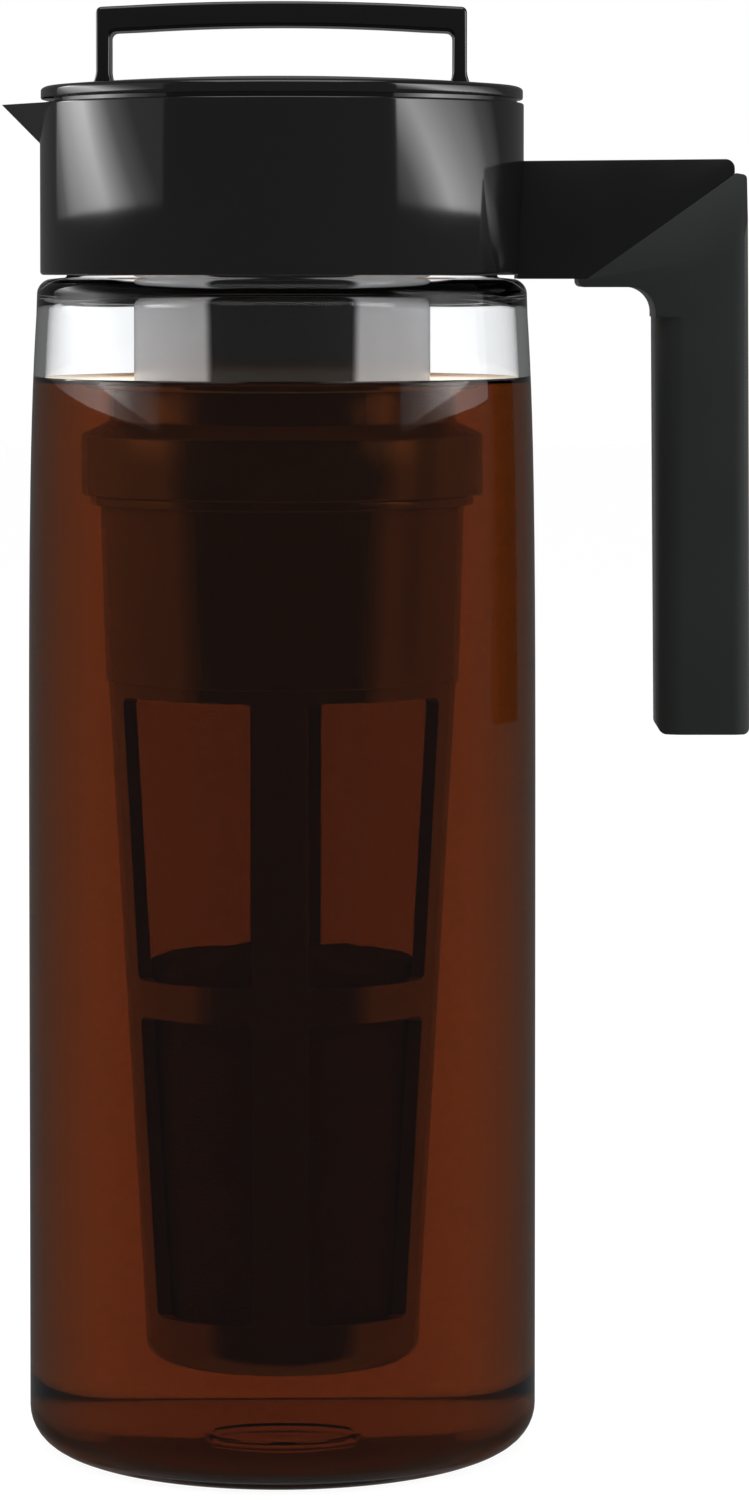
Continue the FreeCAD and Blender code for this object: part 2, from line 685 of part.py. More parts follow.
pieces = {
    "pitcher_body": make_pitcher_body(),
    "collar": make_collar(),
    "lock_ring": make_lock_ring(),
    "neck_gasket": make_neck_gasket(),
    "handle_arm": make_handle_arm(),
    "handle_screws": make_handle_screws(),
    "handle_grip": make_handle_grip(),
    "lid_cap": make_lid_cap(),
    "lid_plug": make_lid_plug(),
    "lid_seal": make_lid_seal(),
    "skirt_seal": make_skirt_seal(),
    "stem_tube": make_stem_tube(),
    "infuser_gasket": make_infuser_gasket(),
    "infuser_neck": make_infuser_neck(),
    "infuser_sleeve": make_infuser_sleeve(),
    "infuser_frame": make_infuser_frame(),
    "filter_mesh_upper": make_filter_mesh(band_high - mesh_margin, sleeve_bottom - spigot_taper - 0.1),
    "filter_mesh_lower": make_filter_mesh(window_bottom - 0.9, band_low + mesh_margin),
    "infuser_base": make_infuser_base(),
}

for name, shape in pieces.items():
    export(name, shape)
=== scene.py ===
# Cold brew coffee maker: a clear pitcher of coffee with a black collar and handle, its lid, and the
# mesh infuser that hangs in the coffee. Shapes are in millimetres here and scaled to metres when made.
import math
import json

import bmesh
import bpy
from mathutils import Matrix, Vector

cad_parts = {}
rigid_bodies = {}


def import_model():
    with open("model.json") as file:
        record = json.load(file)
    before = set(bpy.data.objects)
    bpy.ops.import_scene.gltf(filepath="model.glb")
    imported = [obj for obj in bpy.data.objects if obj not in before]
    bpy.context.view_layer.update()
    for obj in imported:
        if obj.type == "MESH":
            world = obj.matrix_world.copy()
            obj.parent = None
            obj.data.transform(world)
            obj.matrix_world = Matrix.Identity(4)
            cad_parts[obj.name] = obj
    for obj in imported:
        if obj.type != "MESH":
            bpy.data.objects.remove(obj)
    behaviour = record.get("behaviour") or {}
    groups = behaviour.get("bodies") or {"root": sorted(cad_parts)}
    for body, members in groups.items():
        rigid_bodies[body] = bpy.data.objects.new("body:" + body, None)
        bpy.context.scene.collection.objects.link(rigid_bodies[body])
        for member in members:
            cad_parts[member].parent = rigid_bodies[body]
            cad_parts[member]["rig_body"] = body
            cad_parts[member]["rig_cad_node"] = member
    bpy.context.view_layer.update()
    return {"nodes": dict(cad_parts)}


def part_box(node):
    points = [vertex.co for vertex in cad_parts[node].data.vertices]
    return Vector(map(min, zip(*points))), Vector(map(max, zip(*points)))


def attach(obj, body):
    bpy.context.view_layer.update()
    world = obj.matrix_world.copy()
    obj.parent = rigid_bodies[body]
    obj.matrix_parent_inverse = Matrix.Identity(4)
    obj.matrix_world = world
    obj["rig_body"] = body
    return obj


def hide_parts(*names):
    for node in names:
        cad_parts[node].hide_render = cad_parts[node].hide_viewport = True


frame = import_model()
MM = 0.001


# Camera, floor and light
# The camera stands a metre away at the height of the collar and looks almost level, as in the photograph.
# Two tall soft lamps stand left and right, and the room is white behind the pitcher and dim in reflections.
scene = bpy.context.scene
distance = 1.04
picture_height = 0.312        # metres that the picture covers at the pitcher's axis
camera_height = 0.2444
camera_tilt = 2.06
camera_data = bpy.data.cameras.new("camera")
camera_data.sensor_width = 36
camera_data.lens = 36 * distance / picture_height
camera_data.shift_y = -0.2
camera_data.clip_start = 0.05
camera = bpy.data.objects.new("camera", camera_data)
scene.collection.objects.link(camera)
camera.location = (0.0192, -distance, camera_height)
camera.rotation_euler = (math.radians(90 - camera_tilt), 0, 0)
scene.camera = camera
scene.view_settings.view_transform = "Standard"


class Value:
    """A socket of a material's nodes. Arithmetic on it adds Math nodes."""

    def __init__(self, finish, socket):
        self.finish = finish
        self.socket = socket

    def math(self, operation, *inputs):
        return self.finish.node("ShaderNodeMath", {"operation": operation}, dict(enumerate(inputs)))

    def __add__(self, other):
        return self.math("ADD", self, other)

    def __radd__(self, other):
        return self.math("ADD", other, self)

    def __sub__(self, other):
        return self.math("SUBTRACT", self, other)

    def __rsub__(self, other):
        return self.math("SUBTRACT", other, self)

    def __mul__(self, other):
        return self.math("MULTIPLY", self, other)

    def __rmul__(self, other):
        return self.math("MULTIPLY", other, self)

    def __truediv__(self, other):
        return self.math("DIVIDE", self, other)

    def fraction(self):
        return self.math("FRACT", self)

    def size(self):
        return self.math("ABSOLUTE", self)

    def above(self, edge):
        return self.math("GREATER_THAN", self, edge)

    def between(self, low, high, start=0.0, end=1.0):
        """Smooth step from start to end as the value goes from low to high."""
        settings = {"interpolation_type": "SMOOTHSTEP"}
        return self.finish.node("ShaderNodeMapRange", settings, {
            "Value": self, "From Min": low, "From Max": high, "To Min": start, "To Max": end})


class Finish:
    """A node material, or the nodes of the world or a lamp."""

    def __init__(self, owner):
        owner.use_nodes = True
        self.owner = owner
        self.tree = owner.node_tree
        self.tree.nodes.clear()

    def node(self, kind, settings=None, sockets=None, output=0):
        """Adds a node: its settings first, then the values or links of its inputs."""
        made = self.tree.nodes.new(kind)
        for key, value in (settings or {}).items():
            if key == "stops":
                ramp = made.color_ramp
                while len(ramp.elements) < len(value):
                    ramp.elements.new(0.5)
                for element, (place, colour) in zip(ramp.elements, value):
                    element.position = place
                    element.color = (*colour, 1)
            else:
                setattr(made, key, value)
        for key, value in (sockets or {}).items():
            if isinstance(value, Value):
                self.tree.links.new(value.socket, made.inputs[key])
            else:
                made.inputs[key].default_value = value
        return Value(self, made.outputs[output])

    def place(self):
        """Object coordinates."""
        return self.node("ShaderNodeTexCoord", output="Object")

    def parts(self, vector):
        """X, Y and Z of a vector."""
        split = self.tree.nodes.new("ShaderNodeSeparateXYZ")
        self.tree.links.new(vector.socket, split.inputs[0])
        return [Value(self, out) for out in split.outputs]

    def noise(self, scale, detail=3.0, rough=0.5):
        return self.node("ShaderNodeTexNoise", None, {
            "Vector": self.place(), "Scale": scale, "Detail": detail, "Roughness": rough})

    def mix(self, factor, first, second):
        """Mix of two colours."""
        return self.node("ShaderNodeMix", {"data_type": "RGBA"}, {0: factor, 6: first, 7: second}, output=2)

    def bump(self, height, strength, depth):
        return self.node("ShaderNodeBump", None, {"Height": height, "Strength": strength, "Distance": depth})

    def principled(self, **sockets):
        named = {key.replace("_", " "): value for key, value in sockets.items()}
        return self.node("ShaderNodeBsdfPrincipled", None, named)

    def mix_shader(self, factor, first, second):
        return self.node("ShaderNodeMixShader", None, {0: factor, 1: first, 2: second})

    def light_path(self, ray):
        return self.node("ShaderNodeLightPath", output=ray)

    def finish(self, surface, volume=None, kind="ShaderNodeOutputMaterial"):
        """Adds the output node and links what the surface and the volume are made of."""
        end = self.tree.nodes.new(kind)
        self.tree.links.new(surface.socket, end.inputs["Surface"])
        if volume:
            self.tree.links.new(volume.socket, end.inputs["Volume"])


def material(name):
    return Finish(bpy.data.materials.new(name))


world = Finish(bpy.data.worlds.new("studio"))
scene.world = world.owner
reflection_level = 0.11
ambient_level = 0.5
wall_level = 0.15             # for what the clear wall mirrors inside itself
inner_level = 0.8             # for what the coffee mirrors from below, behind more faces than that


def room_mirrored(finish):
    """Whether a ray was mirrored on its way, and how bright the room is to it then."""
    reflected = finish.light_path("Glossy Depth").above(0.5)
    through = finish.light_path("Transmission Depth")
    return reflected, (reflection_level + through.above(1.5) * (wall_level - reflection_level)
                       + through.above(4.5) * (inner_level - wall_level))


reflected, mirrored = room_mirrored(world)
diffused = world.light_path("Is Diffuse Ray")
level = reflected * mirrored + (1.0 - reflected) * (diffused * ambient_level + (1.0 - diffused))
world.finish(world.node("ShaderNodeBackground", None, {"Color": (1, 1, 1, 1), "Strength": level}),
             kind="ShaderNodeOutputWorld")

floor_pale = material("floor_pale")
floor_matte = floor_pale.node("ShaderNodeBsdfDiffuse", None, {"Color": (0.86, 0.86, 0.86, 1)})
floor_white = floor_pale.node("ShaderNodeEmission", None, {"Color": (1, 1, 1, 1), "Strength": 1.1})
floor_reflected, floor_mirrored = room_mirrored(floor_pale)
floor_dim = floor_pale.node("ShaderNodeEmission", None, {"Color": (1, 1, 1, 1), "Strength": floor_mirrored})
floor_plain = floor_pale.mix_shader(
    (1.0 - floor_pale.light_path("Is Diffuse Ray")) * 0.84, floor_matte, floor_white)
floor_pale.finish(floor_pale.mix_shader(floor_reflected, floor_plain, floor_dim))
bpy.ops.object.select_all(action="DESELECT")
bpy.ops.mesh.primitive_plane_add(size=12, location=(0, 0, 0))
floor = bpy.context.object
floor.name = "floor"
floor.data.materials.append(floor_pale.owner)


def soft_lamp(name, place, aim, wide, tall, watts, fade):
    """Area lamp that points at aim. fade lists the strength across its width, from one side to the other."""
    lamp = bpy.data.lights.new(name, "AREA")
    lamp.shape = "RECTANGLE"
    lamp.size = wide
    lamp.size_y = tall
    lamp.energy = watts
    glow = Finish(lamp)
    part_x, part_y, _ = glow.parts(glow.node("ShaderNodeNewGeometry", output="Parametric"))
    across = 1.0 - part_x - part_y
    ramp = glow.node("ShaderNodeValToRGB", {"stops": fade}, {"Fac": across})
    glow.finish(glow.node("ShaderNodeEmission", None, {"Color": ramp}), kind="ShaderNodeOutputLight")
    made = bpy.data.objects.new(name, lamp)
    scene.collection.objects.link(made)
    made.location = place
    towards = [a - p for a, p in zip(aim, place)]
    made.rotation_euler = Vector(towards).to_track_quat("-Z", "Y").to_euler()
    made.visible_camera = False
    return made


lamp_distance = 0.9
lamp_bottom = 0.233           # so that only the collar and the lid mirror the lamps
lamp_tall = 0.8
lamp_front, lamp_back = -0.62, 0.80
lamp_middle = (lamp_front + lamp_back) / 2
lamp_height = lamp_bottom + lamp_tall / 2
fade_steps = (
    (0.0, (0.0, 0.0, 0.0)), (0.2, (0.1, 0.1, 0.1)), (0.42, (0.5, 0.5, 0.5)), (0.6, (1.0, 1.0, 1.0)),
    (0.7, (0.6, 0.6, 0.6)), (0.82, (0.2, 0.2, 0.2)), (1.0, (0.05, 0.05, 0.05)))
fade_back = tuple((1 - place, colour) for place, colour in reversed(fade_steps))
for side, name, fade in ((-1, "lamp_left", fade_back), (1, "lamp_right", fade_steps)):
    soft_lamp(name, (side * lamp_distance, lamp_middle, lamp_height), (0, lamp_middle, lamp_height),
              lamp_back - lamp_front, lamp_tall, 24, fade)
soft_lamp("lamp_top", (0.0, -0.3, 1.5), (0, 0, 0.1), 1.2, 1.2, 12, ((0.0, (1, 1, 1)), (1.0, (1, 1, 1))))


# Pitcher body
# Clear copolyester, blow-moulded in one piece: rounded base with a foot ring, a wall that narrows a
# little to the shoulder, and a neck that the collar hides.
turn_steps = 192
smooth_angle = math.radians(32)
soft_edge_angle = math.radians(40)
body_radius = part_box("pitcher_body")[1].x / MM
neck_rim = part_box("pitcher_body")[1].z / MM
wall = 2.4
shoulder_height = 238.4
shoulder_draw = 2.0
shoulder_power = 8.6
neck_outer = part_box("neck_gasket")[1].x / MM + 0.1
neck_inner = neck_outer - wall


def close_mesh(angle=smooth_angle):
    """Ends edit mode with the doubles merged, the faces outwards and the shading smooth."""
    bpy.ops.mesh.select_all(action="SELECT")
    bpy.ops.mesh.remove_doubles(threshold=1e-6)
    bpy.ops.mesh.normals_make_consistent(inside=False)
    bpy.ops.object.mode_set(mode="OBJECT")
    bpy.ops.object.shade_smooth_by_angle(angle=angle)


def drawn(name, points):
    """Edge line in the plane of X and Z, drawn by extruding one vertex from point to point.
    A point's third number is how much its corner is rounded. Leaves the piece in edit mode."""
    bpy.ops.object.select_all(action="DESELECT")
    bpy.ops.mesh.primitive_plane_add(size=MM, location=(0, 0, 0))
    piece = bpy.context.object
    piece.name = name
    bpy.ops.object.mode_set(mode="EDIT")
    bpy.ops.mesh.select_all(action="SELECT")
    bpy.ops.mesh.merge(type="CENTER")
    bpy.ops.transform.translate(value=(points[0][0] * MM, 0, points[0][1] * MM))
    for here, there in zip(points, points[1:]):
        step = ((there[0] - here[0]) * MM, 0, (there[1] - here[1]) * MM)
        bpy.ops.mesh.extrude_region_move(TRANSFORM_OT_translate={"value": step})
    for point in points:
        if len(point) < 3:
            continue
        bpy.ops.mesh.select_all(action="DESELECT")
        edit = bmesh.from_edit_mesh(piece.data)
        for vertex in edit.verts:
            vertex.select = math.dist((vertex.co.x, vertex.co.z), (point[0] * MM, point[1] * MM)) < 1e-6
        edit.select_flush(True)
        bmesh.update_edit_mesh(piece.data)
        segments = 10 if point[2] > 2 else 4
        bpy.ops.mesh.bevel(offset_type="OFFSET", offset=point[2] * MM, segments=segments, affect="VERTICES")
    return piece


def lathed(name, points, steps=turn_steps, angle=smooth_angle):
    """Closed shape of revolution about Z, from its outline of radius and height."""
    piece = drawn(name, points)
    bpy.ops.mesh.select_all(action="SELECT")
    bpy.ops.mesh.spin(steps=steps, angle=math.tau, center=(0, 0, 0), axis=(0, 0, 1))
    close_mesh(angle)
    return piece


def dress(piece, finish, body, *nodes, slot=None):
    """Gives a piece its one material and the body it rides on, and hides the nodes it stands for."""
    piece.data.materials.clear()
    piece.data.materials.append(finish)
    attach(piece, body)
    if nodes:
        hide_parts(*nodes)
    return piece


def wall_radius(height):
    """Outside radius of the wall, which narrows towards the shoulder."""
    return body_radius - shoulder_draw * (height / shoulder_height) ** shoulder_power


wall_heights = [20 + 12 * i for i in range(16)] + [208, 214, 220, 226, 231, 235]
outside = [(wall_radius(h), h) for h in wall_heights]
inside = [(wall_radius(h) - wall, h) for h in reversed(wall_heights)]
clear_body = lathed("clear_body", [
    (0, 1.2), (34.3, 1.2, 0.6), (35.8, 0, 0.6), (body_radius, 0, 8.0), *outside,
    (wall_radius(238.4), 242.0, 2.4), (48.0, 242.6, 0.6), (neck_outer, 242.9, 0.5),
    (neck_outer, 260.0), (neck_outer + 1.0, 261.0), (neck_outer + 1.0, 262.2), (neck_outer, 263.2),
    (neck_outer, neck_rim, 0.5), (neck_inner, neck_rim, 0.5), (neck_inner, 240.4, 2.2),
    (wall_radius(238.4) - wall, 239.0, 2.6), *inside,
    (body_radius - wall, 4.0, 6.0), (12.2, 4.0, 0.4), (11.4, 4.6, 0.3), (10.6, 4.0, 0.4), (0, 4.0),
], steps=256)

clear = material("clear_copolyester")
clear_ripple = clear.noise(26, 2.0)
clear_glass = clear.principled(
    Base_Color=(0.955, 0.965, 0.975, 1), Roughness=clear_ripple.between(0.35, 0.75, 0.0, 0.02), IOR=1.2,
    Transmission_Weight=1.0, Normal=clear.bump(clear_ripple, 0.06, 0.0004))
clear_open = clear.node("ShaderNodeBsdfTransparent", None, {"Color": (0.93, 0.94, 0.95, 1)})
clear.finish(clear.mix_shader(clear.light_path("Is Shadow Ray"), clear_glass, clear_open))
dress(clear_body, clear.owner, "pitcher", "pitcher_body", slot="clear_plastic")


# Coffee
# About 1.6 litres of cold brew, up to 17 mm under the shoulder. It fills the pitcher to the wall and climbs
# a little at its edge. Its colour has painted shade towards its edges, and its surface has a painted pale
# reflection that glows at a low angle.
fill_height = 221.0
wetting = 1.8                 # the skin lies this far inside the wall, so the coffee looks brown to its edge
coffee_side = [(wall_radius(h) - wall + wetting, h) for h in wall_heights if h < fill_height - 2]
edge_radius = wall_radius(fill_height) - wall + 0.3
skin_radius = edge_radius - 0.3 + wetting
coffee = lathed("coffee", [
    (0, 4.0 - wetting), (body_radius - wall + wetting, 4.0 - wetting, 7.2), *coffee_side,
    (skin_radius, fill_height + 1.0), (edge_radius, fill_height + 1.3),
    (edge_radius - 0.8, fill_height + 0.6), (edge_radius - 1.8, fill_height + 0.2),
    (edge_radius - 3.4, fill_height), (0, fill_height),
], steps=256)
brew = material("cold_brew")
# Painted shade: the coffee's colour is darkened towards its grazing edges by a ramp on the facing angle.
brew_painted_shade_facing = brew.node("ShaderNodeLayerWeight", None, {"Blend": 0.5}, output="Facing")
brew_haze = brew.noise(9, 2.0)
brew_colour_painted_edge_shade = brew.node("ShaderNodeValToRGB", {"stops": (
    (0.0, (0.30, 0.130, 0.040)), (0.22, (0.30, 0.130, 0.040)), (0.32, (0.15, 0.075, 0.026)),
    (0.40, (0.060, 0.040, 0.014)), (0.46, (0.035, 0.030, 0.012)))},
    {"Fac": brew_painted_shade_facing + (brew_haze - 0.5) * 0.03})
brew_liquid = brew.principled(
    Base_Color=brew_colour_painted_edge_shade, Roughness=0.0, IOR=1.333, Transmission_Weight=1.0)
brew_open = brew.node("ShaderNodeBsdfTransparent", None, {"Color": (0.55, 0.36, 0.24, 1)})
brew_depth = brew.node("ShaderNodeVolumeAbsorption", None, {
    "Color": (0.627, 0.283, 0.04, 1), "Density": 30.0})
brew.finish(brew.mix_shader(brew.light_path("Is Shadow Ray"), brew_liquid, brew_open), brew_depth)
dress(coffee, brew.owner, "pitcher")

surface = lathed("coffee_surface_painted_reflection", [
    (0, fill_height + 0.05), (edge_radius - 3.4, fill_height + 0.05), (edge_radius - 1.8, fill_height + 0.25),
    (edge_radius - 0.8, fill_height + 0.65), (edge_radius - 0.45, fill_height + 1.1),
    (edge_radius - 0.45, fill_height + 1.25), (edge_radius - 1.0, fill_height + 0.8),
    (edge_radius - 2.0, fill_height + 0.4), (edge_radius - 3.5, fill_height + 0.2), (0, fill_height + 0.2),
])
painted_reflection_skin = material("coffee_surface_painted_reflection")
painted_reflection_facing = painted_reflection_skin.node("ShaderNodeLayerWeight", None, {"Blend": 0.5}, output="Facing")
# Painted reflection: the skin turns pale cream towards grazing angles and glows with that colour, in place of
# the mirrored white room.
painted_reflection_colour = painted_reflection_skin.node("ShaderNodeValToRGB", {"stops": (
    (0.0, (0.10, 0.045, 0.02)), (0.6, (0.22, 0.12, 0.06)), (0.88, (0.80, 0.70, 0.56)),
    (1.0, (0.90, 0.82, 0.68)))},
    {"Fac": painted_reflection_facing + (painted_reflection_skin.noise(60, 4.0) - 0.5) * 0.06})
painted_reflection_skin.finish(painted_reflection_skin.principled(
    Base_Color=painted_reflection_colour, Roughness=0.3, IOR=1.1, Emission_Color=painted_reflection_colour, Emission_Strength=0.9))
dress(surface, painted_reflection_skin.owner, "pitcher")


# Collar and spout
# Gloss black moulding round the neck. A V-shaped spout stands out of its left side, with its channel
# cut through the band, and a lip inside the top edge carries the lid.
collar_low, collar_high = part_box("collar")
collar_radius = collar_high.y / MM
collar_bottom = collar_low.z / MM
lid_bottom = collar_high.z / MM
collar_top = lid_bottom - 0.8
collar_bore = collar_radius - 2.4
shelf_top = neck_rim + 3.0
spout_half = 21.6             # half the spout's width where it leaves the band
spout_reach = 8.0
spout_drop = 8.1
channel_shift = 1.6           # how far the channel's wedge is set back inside the spout's
channel_lift = 1.15
collar = lathed("collar_band", [
    (collar_bore, collar_bottom), (collar_radius, collar_bottom, 0.7), (collar_radius, collar_top, 0.45),
    (collar_bore + 1.0, collar_top), (collar_bore + 1.0, lid_bottom), (collar_bore, lid_bottom),
    (collar_bore, shelf_top), (neck_inner + 0.3, shelf_top), (neck_inner + 0.3, shelf_top - 1.8),
    (collar_bore, shelf_top - 1.8), (collar_bore, collar_bottom),
], steps=240)


def spout_wedge(name, shift_x, shift_z):
    """Solid V: a triangle seen from above, drawn down to one point at the heel of the spout."""
    tip = -collar_radius - spout_reach
    corner = -math.sqrt(collar_radius ** 2 - spout_half ** 2)
    reach = (-0.9 * collar_radius - tip) / (corner - tip)
    back = tip + (corner - tip) * reach
    half = spout_half * reach
    top = collar_top - 0.2
    bpy.ops.object.select_all(action="DESELECT")
    bpy.ops.mesh.primitive_circle_add(
        vertices=3, radius=MM, fill_type="NGON", rotation=(0, 0, math.radians(90)))
    piece = bpy.context.object
    piece.name = name
    bpy.ops.object.transform_apply(location=True, rotation=True, scale=True)
    bpy.ops.object.mode_set(mode="EDIT")
    bpy.ops.mesh.select_all(action="SELECT")
    bpy.ops.transform.resize(value=((back - tip) / 1.5, half / 0.8660254, 1), center_override=(0, 0, 0))
    middle = back - (back - tip) / 3
    bpy.ops.transform.translate(value=((middle + shift_x) * MM, 0, (top + shift_z) * MM))
    heel_x = tip + spout_reach * reach
    heel = ((heel_x - middle) * MM, 0, -spout_drop * reach * MM)
    bpy.ops.mesh.extrude_region_move(TRANSFORM_OT_translate={"value": heel})
    bpy.ops.mesh.merge(type="CENTER")
    close_mesh()
    return piece


def bore_plug(radius):
    """Cylinder that clears the band's bore out of a spout wedge."""
    return lathed("bore_plug", [(0, 230), (radius, 230), (radius, 300), (0, 300)], steps=240)


def carve(piece, tool, operation):
    """Joins or cuts a piece with another, which is then deleted."""
    bpy.ops.object.select_all(action="DESELECT")
    bpy.context.view_layer.objects.active = piece
    piece.select_set(True)
    cut = piece.modifiers.new("cut", "BOOLEAN")
    cut.operation = operation
    cut.object = tool
    cut.solver = "EXACT"
    bpy.ops.object.modifier_apply(modifier=cut.name)
    bpy.data.objects.remove(tool)
    bpy.ops.object.shade_smooth_by_angle(angle=smooth_angle)


outer_wedge = spout_wedge("outer_wedge", 0, 0)
carve(outer_wedge, bore_plug(collar_bore + 0.6), "DIFFERENCE")
carve(collar, outer_wedge, "UNION")
inner_wedge = spout_wedge("inner_wedge", channel_shift, channel_lift)
carve(inner_wedge, bore_plug(collar_bore - 0.2), "DIFFERENCE")
carve(collar, inner_wedge, "DIFFERENCE")

gloss = material("black_gloss_moulding")
gloss_flow = gloss.noise(14, 3.0)
gloss.finish(gloss.principled(
    Base_Color=gloss.mix(gloss_flow, (0.0045, 0.0045, 0.0047, 1), (0.007, 0.007, 0.0072, 1)),
    Roughness=gloss_flow.between(0.3, 0.7, 0.05, 0.10), IOR=1.5,
    Normal=gloss.bump(gloss.noise(45, 2.0), 0.05, 0.0003)))
dress(collar, gloss.owner, "pitcher", "collar", slot="black_gloss")


# Lid
# Gloss black disc with a slight crown, its edge broken by a small bevel, standing on the collar's lip
# so that a dark groove shows between them.
lid_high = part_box("lid_cap")[1]
lid_radius = lid_high.y / MM
lid_rim = lid_bottom + 2.6
crown = 2.0
dome = [(r, lid_rim + crown * (1 - (r / (lid_radius - 0.9)) ** 2)) for r in (45, 40, 34, 27, 20, 13, 6, 0)]
lid = lathed("lid_disc", [
    (0, lid_bottom + 2.0), (6, lid_bottom + 2.0), (41.9, lid_bottom + 0.9), (44.9, lid_bottom),
    (lid_radius, lid_bottom, 0.35), (lid_radius, lid_rim - 0.5, 0.4), (lid_radius - 0.9, lid_rim, 0.3), *dome,
], steps=240, angle=math.radians(24))
dress(lid, gloss.owner, "lid", "lid_cap", slot="black_gloss")


# Carry loop
# A flat bail moulded on the lid: two thin legs that flare a little where they leave it, and a thicker
# bar that arches between them. All its edges are softened.
loop_half = 38.3
leg = 2.9
bar = 5.1
arch = 1.2
loop_top = lid_high.z / MM
loop_depth = 12.0
loop_foot = lid_rim + 0.1
arch_steps = [i / 8 for i in range(-7, 8)]
bar_top = [(loop_half * 0.97 * s, loop_top - arch * s * s) for s in arch_steps]
bar_under = [(-(loop_half - leg) * 0.94 * s, loop_top - bar - arch * s * s) for s in arch_steps]
loop = drawn("carry_loop", [
    (-loop_half - 0.8, loop_foot), (-loop_half, loop_foot + 2.4, 0.8),
    (-loop_half, loop_top - arch, 1.1), *bar_top,
    (loop_half, loop_top - arch, 1.1), (loop_half, loop_foot + 2.4, 0.8), (loop_half + 0.8, loop_foot),
    (loop_half - leg - 0.8, loop_foot), (loop_half - leg, loop_foot + 2.4, 0.8),
    (loop_half - leg, loop_top - bar - arch, 1.2), *bar_under,
    (-loop_half + leg, loop_top - bar - arch, 1.2), (-loop_half + leg, loop_foot + 2.4, 0.8),
    (-loop_half + leg + 0.8, loop_foot), (-loop_half - 0.8, loop_foot),
])
bpy.ops.mesh.select_all(action="SELECT")
bpy.ops.mesh.remove_doubles(threshold=1e-6)
bpy.ops.mesh.edge_face_add()
bpy.ops.transform.translate(value=(0, -loop_depth / 2 * MM, 0))
bpy.ops.mesh.extrude_region_move(TRANSFORM_OT_translate={"value": (0, loop_depth * MM, 0)})
close_mesh(math.radians(28))


def soften(piece, width, segments=3):
    """Rounds a piece's edges and applies it."""
    bpy.ops.object.select_all(action="DESELECT")
    bpy.context.view_layer.objects.active = piece
    piece.select_set(True)
    edge = piece.modifiers.new("edge", "BEVEL")
    edge.width = width * MM
    edge.segments = segments
    edge.limit_method = "ANGLE"
    edge.angle_limit = soft_edge_angle
    bpy.ops.object.modifier_apply(modifier=edge.name)
    bpy.ops.object.shade_smooth_by_angle(angle=smooth_angle)


soften(loop, 0.7)
dress(loop, gloss.owner, "lid", "lid_cap", slot="black_gloss")


# Handle arm
# Hard black moulding from the collar to the grip, narrow on top and wide below. It ends on the slanted
# joint, and its core runs down inside the grip.
def refined(node, name, width, segments=3):
    """Copy of a CAD piece with its triangles joined into faces and its edges rounded."""
    piece = frame["nodes"][node].copy()
    piece.data = piece.data.copy()
    piece.name = name
    scene.collection.objects.link(piece)
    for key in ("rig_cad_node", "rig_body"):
        if key in piece:
            del piece[key]
    piece.parent = None
    bpy.ops.object.select_all(action="DESELECT")
    bpy.context.view_layer.objects.active = piece
    piece.select_set(True)
    bpy.ops.object.mode_set(mode="EDIT")
    bpy.ops.mesh.select_all(action="SELECT")
    bpy.ops.mesh.remove_doubles(threshold=2e-6)
    bpy.ops.mesh.dissolve_limited(angle_limit=math.radians(1))
    bpy.ops.object.mode_set(mode="OBJECT")
    soften(piece, width, segments)
    return piece


arm = refined("handle_arm", "arm", 0.5)
arm_black = material("arm_black")
arm_flow = arm_black.noise(30, 3.0)
arm_black.finish(arm_black.principled(
    Base_Color=arm_black.mix(arm_flow, (0.003, 0.0031, 0.003, 1), (0.005, 0.0051, 0.005, 1)),
    Roughness=arm_flow.between(0.3, 0.7, 0.20, 0.28), IOR=1.45,
    Normal=arm_black.bump(arm_black.noise(900, 2.0), 0.08, 0.0001)))
dress(arm, arm_black.owner, "pitcher", "handle_arm", slot="black_gloss")


# Grip
# Soft-touch skin moulded over the core, with a fine matte grain. It stands a little proud of the arm
# along the slanted joint.
grip = refined("handle_grip", "grip", 0.9, 4)
soft = material("soft_touch")
soft_grain = soft.noise(2600, 2.0)
soft_cloud = soft.noise(40, 3.0)
soft.finish(soft.principled(
    Base_Color=soft.mix(soft_cloud, (0.0075, 0.0097, 0.0092, 1), (0.0105, 0.0128, 0.0123, 1)),
    Roughness=soft_cloud.between(0.3, 0.7, 0.5, 0.6), IOR=1.45, Sheen_Weight=0.12, Sheen_Roughness=0.5,
    Normal=soft.bump(soft_grain, 0.25, 0.00008)))
dress(grip, soft.owner, "pitcher", "handle_grip", slot="soft_grip")


# Stem tube
# Gloss tube that hangs from the lid's plug and carries the infuser. It ends at the coffee's surface.
# Pale painted reflection bands are mixed into its colour at its sides.
stem_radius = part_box("stem_tube")[1].y / MM
stem_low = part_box("stem_tube")[0].z / MM
stem_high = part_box("stem_tube")[1].z / MM
stem = lathed("stem", [
    (stem_radius - 2.2, stem_low), (stem_radius, stem_low, 0.6), (stem_radius, stem_high),
    (stem_radius - 2.2, stem_high), (stem_radius - 2.2, stem_low),
], steps=160)
stem_gloss_painted_reflection = material("stem_gloss_painted_reflection")
stem_painted_reflection_facing = stem_gloss_painted_reflection.node("ShaderNodeLayerWeight", None, {"Blend": 0.5}, output="Facing")
stem_flow = stem_gloss_painted_reflection.noise(30, 2.0)
stem_gloss_painted_reflection.finish(stem_gloss_painted_reflection.principled(
    # Painted reflection: pale grey is mixed into the colour towards the tube's sides.
    Base_Color=stem_gloss_painted_reflection.mix(stem_painted_reflection_facing.between(0.12, 0.16) * (stem_flow * 0.1 + 0.95),
                              (0.008, 0.008, 0.008, 1), (0.42, 0.42, 0.425, 1)),
    Roughness=stem_flow.between(0.3, 0.7, 0.12, 0.18), IOR=1.5))
dress(stem, stem_gloss_painted_reflection.owner, "lid", "stem_tube", slot="black_gloss")
